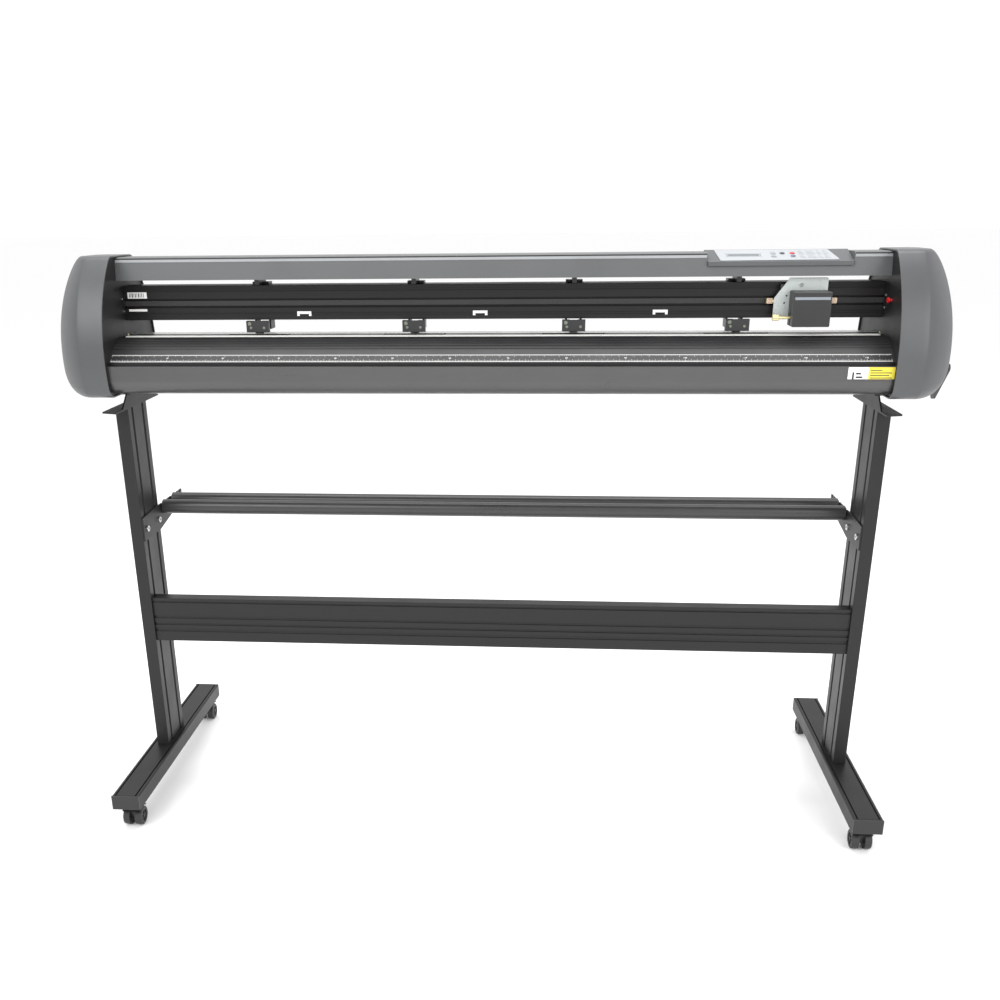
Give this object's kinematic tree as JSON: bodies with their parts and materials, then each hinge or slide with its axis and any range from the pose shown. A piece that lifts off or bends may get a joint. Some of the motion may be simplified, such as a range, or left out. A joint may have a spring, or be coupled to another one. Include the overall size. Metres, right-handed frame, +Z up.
{
  "type": "vinyl cutter",
  "caption": "Vinyl cutter on a wheeled stand: a cutting head on a long beam, pinch and grit rollers, media rollers.",
  "frame": {"origin": "on the floor, under the middle of the machine", "axes": "+X to the operator's right along the beam, -Y towards the operator, +Z up"},
  "size_m": [1.58, 0.516, 1.0436],
  "materials": {
    "stand_black": "satin powder coat",
    "plate_black": "satin powder coat",
    "beam_black": "black anodised, fine brushed",
    "platen_grey": "dark anodised extrusion",
    "apron_grey": "bronze-grey anodised, brushed",
    "cover_grey": "satin grey paint",
    "cap_grey": "fine textured moulding",
    "panel_dark": "satin moulding",
    "overlay_silver": "silver membrane",
    "key_grey": "domed keys",
    "strip_white": "soft plastic",
    "steel": "bright zinc",
    "plate_silver": "pale anodised",
    "brass": "polished",
    "tool_black": "fine textured moulding",
    "pinch_black": "moulded nylon",
    "wheel_rubber": "polyurethane",
    "grit_steel": "knurled",
    "pulley_alloy": "toothed",
    "belt_black": "toothed belt",
    "motor_black": "stepper motors",
    "board_green": "circuit board and supply",
    "stop_red": "red cap",
    "caster_black": "nylon",
    "caster_tread": "twin wheels",
    "roller_black": "painted tube",
    "bolt_steel": "zinc plated"
  },
  "bodies": {
    "frame": {"foot_beams": "stand_black", "foot_end_caps": "caster_black", "posts": "stand_black", "crossbeam": "stand_black", "head_brackets": "plate_black", "roll_brackets": "plate_black", "fasteners": "bolt_steel", "end_caps": "cap_grey", "side_plates": "plate_black", "top_cover": "cover_grey", "guide_beam": "beam_black", "front_apron": "apron_grey", "platen": "platen_grey", "cutting_strip": "strip_white", "base_tray": "plate_black", "panel_housing": "panel_dark", "panel_overlay": "overlay_silver", "drive_motors": "motor_black", "drive_belts": "belt_black", "electronics": "board_green", "shaft_bushes": "brass"},
    "keypad": {"keypad": "key_grey"},
    "carriage": {"carriage_plate": "plate_silver", "carriage_cover": "tool_black", "belt_clamps": "brass", "slide_shoes": "tool_black"},
    "tool": {"tool_slide": "steel", "blade_holder": "brass"},
    "blade": {"blade": "steel"},
    "clamp_knob": {"clamp_knob": "brass"},
    "drive_pulley": {"drive_pulley": "pulley_alloy"},
    "idler_pulley": {"idler_pulley": "pulley_alloy"},
    "grit_shaft": {"grit_shaft": "grit_steel", "grit_pulley": "pulley_alloy"},
    "feed_pulley": {"feed_pulley": "pulley_alloy"},
    "lift_shaft": {"lift_shaft": "steel"},
    "lift_lever": {"lift_lever": "pinch_black"},
    "stop_plunger": {"stop_plunger": "stop_red"},
    "media_roller_front": {"media_roller_front": "roller_black"},
    "media_roller_back": {"media_roller_back": "roller_black"},
    "pinch_hanger_1": {"pinch_hanger_1": "pinch_black"},
    "pinch_arm_1": {"pinch_arm_1": "pinch_black"},
    "pinch_wheel_1": {"pinch_wheel_1": "wheel_rubber"},
    "pinch_hanger_2": {"pinch_hanger_2": "pinch_black"},
    "pinch_arm_2": {"pinch_arm_2": "pinch_black"},
    "pinch_wheel_2": {"pinch_wheel_2": "wheel_rubber"},
    "pinch_hanger_3": {"pinch_hanger_3": "pinch_black"},
    "pinch_arm_3": {"pinch_arm_3": "pinch_black"},
    "pinch_wheel_3": {"pinch_wheel_3": "wheel_rubber"},
    "pinch_hanger_4": {"pinch_hanger_4": "pinch_black"},
    "pinch_arm_4": {"pinch_arm_4": "pinch_black"},
    "pinch_wheel_4": {"pinch_wheel_4": "wheel_rubber"},
    "caster_yoke_1": {"caster_yoke_1": "caster_black"},
    "caster_wheels_1": {"caster_wheels_1": "caster_tread"},
    "caster_yoke_2": {"caster_yoke_2": "caster_black"},
    "caster_wheels_2": {"caster_wheels_2": "caster_tread"},
    "caster_yoke_3": {"caster_yoke_3": "caster_black"},
    "caster_wheels_3": {"caster_wheels_3": "caster_tread"},
    "caster_yoke_4": {"caster_yoke_4": "caster_black"},
    "caster_wheels_4": {"caster_wheels_4": "caster_tread"}
  },
  "joints": [
    {"name": "carriage_slide", "type": "slide", "parent": "frame", "child": "carriage", "axis": [1, 0, 0], "range_m": [-1.12, 0.072]},
    {"name": "tool_lift", "type": "slide", "parent": "carriage", "child": "tool", "axis": [0, 0, -1], "range_m": [0, 0.01], "stiffness_N_per_m": 60, "springref_m": -0.012},
    {"name": "blade_swivel", "type": "hinge", "parent": "tool", "child": "blade", "pos_m": [0.5435, -0.033, 0.93], "axis": [0, 0, 1], "continuous": true},
    {"name": "clamp_turn", "type": "hinge", "parent": "tool", "child": "clamp_knob", "pos_m": [0.5235, -0.033, 0.933], "axis": [1, 0, 0], "range_deg": [-720, 0]},
    {"name": "drive_pulley_spin", "type": "hinge", "parent": "frame", "child": "drive_pulley", "pos_m": [0.711, 0.01835, 0.959], "axis": [0, 0, 1], "continuous": true},
    {"name": "idler_pulley_spin", "type": "hinge", "parent": "frame", "child": "idler_pulley", "pos_m": [-0.711, 0.01835, 0.959], "axis": [0, 0, 1], "continuous": true},
    {"name": "grit_shaft_spin", "type": "hinge", "parent": "frame", "child": "grit_shaft", "pos_m": [0, 0, 0.8953], "axis": [1, 0, 0], "continuous": true},
    {"name": "feed_pulley_spin", "type": "hinge", "parent": "frame", "child": "feed_pulley", "pos_m": [0.697, 0.06, 0.85], "axis": [1, 0, 0], "continuous": true},
    {"name": "lift_lever_turn", "type": "hinge", "parent": "frame", "child": "lift_lever", "pos_m": [0.787, -0.033, 0.848], "axis": [1, 0, 0], "range_deg": [0, 80]},
    {"name": "lift_shaft_turn", "type": "hinge", "parent": "frame", "child": "lift_shaft", "pos_m": [0, 0.068, 0.93], "axis": [1, 0, 0], "range_deg": [0, 80]},
    {"name": "pinch_slide_1", "type": "slide", "parent": "frame", "child": "pinch_hanger_1", "axis": [1, 0, 0], "range_m": [-0.03, 0.03]},
    {"name": "pinch_lift_1", "type": "hinge", "parent": "pinch_hanger_1", "child": "pinch_arm_1", "pos_m": [-0.4275, 0.034, 0.917], "axis": [-1, 0, 0], "range_deg": [0, 4.5]},
    {"name": "pinch_wheel_spin_1", "type": "hinge", "parent": "pinch_arm_1", "child": "pinch_wheel_1", "pos_m": [-0.4275, 0, 0.9137], "axis": [1, 0, 0], "continuous": true},
    {"name": "pinch_slide_2", "type": "slide", "parent": "frame", "child": "pinch_hanger_2", "axis": [1, 0, 0], "range_m": [-0.03, 0.03]},
    {"name": "pinch_lift_2", "type": "hinge", "parent": "pinch_hanger_2", "child": "pinch_arm_2", "pos_m": [-0.1425, 0.034, 0.917], "axis": [-1, 0, 0], "range_deg": [0, 4.5]},
    {"name": "pinch_wheel_spin_2", "type": "hinge", "parent": "pinch_arm_2", "child": "pinch_wheel_2", "pos_m": [-0.1425, 0, 0.9137], "axis": [1, 0, 0], "continuous": true},
    {"name": "pinch_slide_3", "type": "slide", "parent": "frame", "child": "pinch_hanger_3", "axis": [1, 0, 0], "range_m": [-0.03, 0.03]},
    {"name": "pinch_lift_3", "type": "hinge", "parent": "pinch_hanger_3", "child": "pinch_arm_3", "pos_m": [0.1425, 0.034, 0.917], "axis": [-1, 0, 0], "range_deg": [0, 4.5]},
    {"name": "pinch_wheel_spin_3", "type": "hinge", "parent": "pinch_arm_3", "child": "pinch_wheel_3", "pos_m": [0.1425, 0, 0.9137], "axis": [1, 0, 0], "continuous": true},
    {"name": "pinch_slide_4", "type": "slide", "parent": "frame", "child": "pinch_hanger_4", "axis": [1, 0, 0], "range_m": [-0.03, 0.03]},
    {"name": "pinch_lift_4", "type": "hinge", "parent": "pinch_hanger_4", "child": "pinch_arm_4", "pos_m": [0.4275, 0.034, 0.917], "axis": [-1, 0, 0], "range_deg": [0, 4.5]},
    {"name": "pinch_wheel_spin_4", "type": "hinge", "parent": "pinch_arm_4", "child": "pinch_wheel_4", "pos_m": [0.4275, 0, 0.9137], "axis": [1, 0, 0], "continuous": true},
    {"name": "stop_press", "type": "slide", "parent": "frame", "child": "stop_plunger", "axis": [1, 0, 0], "range_m": [0, 0.004], "stiffness_N_per_m": 200},
    {"name": "key_press", "type": "slide", "parent": "frame", "child": "keypad", "axis": [0, 0.2958, -0.9553], "range_m": [0, 0.0004], "stiffness_N_per_m": 900},
    {"name": "media_roller_front_spin", "type": "hinge", "parent": "frame", "child": "media_roller_front", "pos_m": [0, 0.065, 0.561], "axis": [1, 0, 0], "continuous": true},
    {"name": "media_roller_back_spin", "type": "hinge", "parent": "frame", "child": "media_roller_back", "pos_m": [0, 0.122, 0.561], "axis": [1, 0, 0], "continuous": true},
    {"name": "caster_swivel_1", "type": "hinge", "parent": "frame", "child": "caster_yoke_1", "pos_m": [-0.6885, -0.2305, 0.05], "axis": [0, 0, 1], "continuous": true},
    {"name": "caster_roll_1", "type": "hinge", "parent": "caster_yoke_1", "child": "caster_wheels_1", "pos_m": [-0.6885, -0.2215, 0.018], "axis": [1, 0, 0], "continuous": true},
    {"name": "caster_swivel_2", "type": "hinge", "parent": "frame", "child": "caster_yoke_2", "pos_m": [0.6885, -0.2305, 0.05], "axis": [0, 0, 1], "continuous": true},
    {"name": "caster_roll_2", "type": "hinge", "parent": "caster_yoke_2", "child": "caster_wheels_2", "pos_m": [0.6885, -0.2215, 0.018], "axis": [1, 0, 0], "continuous": true},
    {"name": "caster_swivel_3", "type": "hinge", "parent": "frame", "child": "caster_yoke_3", "pos_m": [-0.6885, 0.2305, 0.05], "axis": [0, 0, 1], "continuous": true},
    {"name": "caster_roll_3", "type": "hinge", "parent": "caster_yoke_3", "child": "caster_wheels_3", "pos_m": [-0.6885, 0.2395, 0.018], "axis": [1, 0, 0], "continuous": true},
    {"name": "caster_swivel_4", "type": "hinge", "parent": "frame", "child": "caster_yoke_4", "pos_m": [0.6885, 0.2305, 0.05], "axis": [0, 0, 1], "continuous": true},
    {"name": "caster_roll_4", "type": "hinge", "parent": "caster_yoke_4", "child": "caster_wheels_4", "pos_m": [0.6885, 0.2395, 0.018], "axis": [1, 0, 0], "continuous": true}
  ],
  "couplings": [
    {"joint": "drive_pulley_spin", "follows": "carriage_slide", "rad_per_m": 67.797},
    {"joint": "idler_pulley_spin", "follows": "carriage_slide", "rad_per_m": 67.797},
    {"joint": "feed_pulley_spin", "follows": "grit_shaft_spin", "ratio": 3},
    {"joint": "lift_shaft_turn", "follows": "lift_lever_turn", "ratio": 1},
    {"joint": "pinch_lift_1", "follows": "lift_lever_turn", "ratio": 0.05625},
    {"joint": "pinch_lift_2", "follows": "lift_lever_turn", "ratio": 0.05625},
    {"joint": "pinch_lift_3", "follows": "lift_lever_turn", "ratio": 0.05625},
    {"joint": "pinch_lift_4", "follows": "lift_lever_turn", "ratio": 0.05625}
  ]
}
